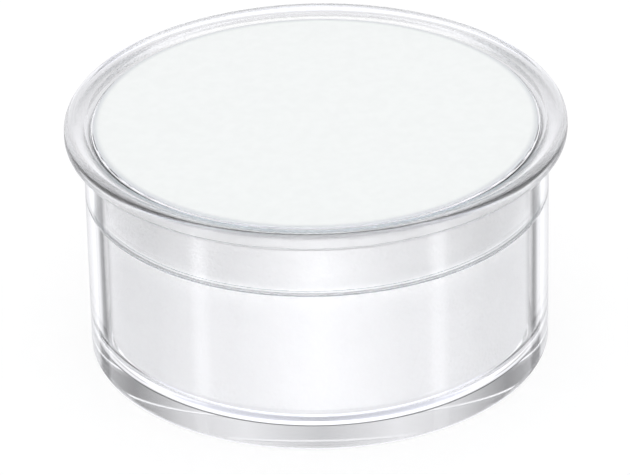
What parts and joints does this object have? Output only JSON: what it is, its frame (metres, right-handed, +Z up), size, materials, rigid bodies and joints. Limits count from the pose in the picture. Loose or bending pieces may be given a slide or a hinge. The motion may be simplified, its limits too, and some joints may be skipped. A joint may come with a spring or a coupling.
{
  "type": "wet palette",
  "caption": "Small round wet palette: a clear cup with a foam pad, a sheet of palette paper on top and a clear flanged ring that slips over the neck.",
  "frame": {"origin": "centre of the cup's flat underside, on the surface that the palette stands on", "axes": "+Z up along the common axis of the cup, pad, paper and ring; the object is round, so X and Y are free"},
  "size_m": [0.068, 0.068, 0.034],
  "materials": {
    "clear_cup": "clear polished",
    "clear_ring": "clear polished",
    "white_foam": "matt open-cell foam",
    "palette_paper": "matt damp paper"
  },
  "bodies": {
    "cup_body": {"cup": "clear_cup"},
    "pad_body": {"foam_pad": "white_foam"},
    "paper_body": {"palette_paper": "palette_paper"},
    "ring_body": {"ring": "clear_ring"}
  },
  "joints": [
    {"name": "pad_lift", "type": "slide", "parent": "cup_body", "child": "pad_body", "axis": [0, 0, 1], "range_m": [0, 0.036]},
    {"name": "paper_lift", "type": "slide", "parent": "pad_body", "child": "paper_body", "axis": [0, 0, 1], "range_m": [0, 0.012]},
    {"name": "ring_lift", "type": "slide", "parent": "cup_body", "child": "ring_body", "axis": [0, 0, 1], "range_m": [0, 0.07]}
  ]
}
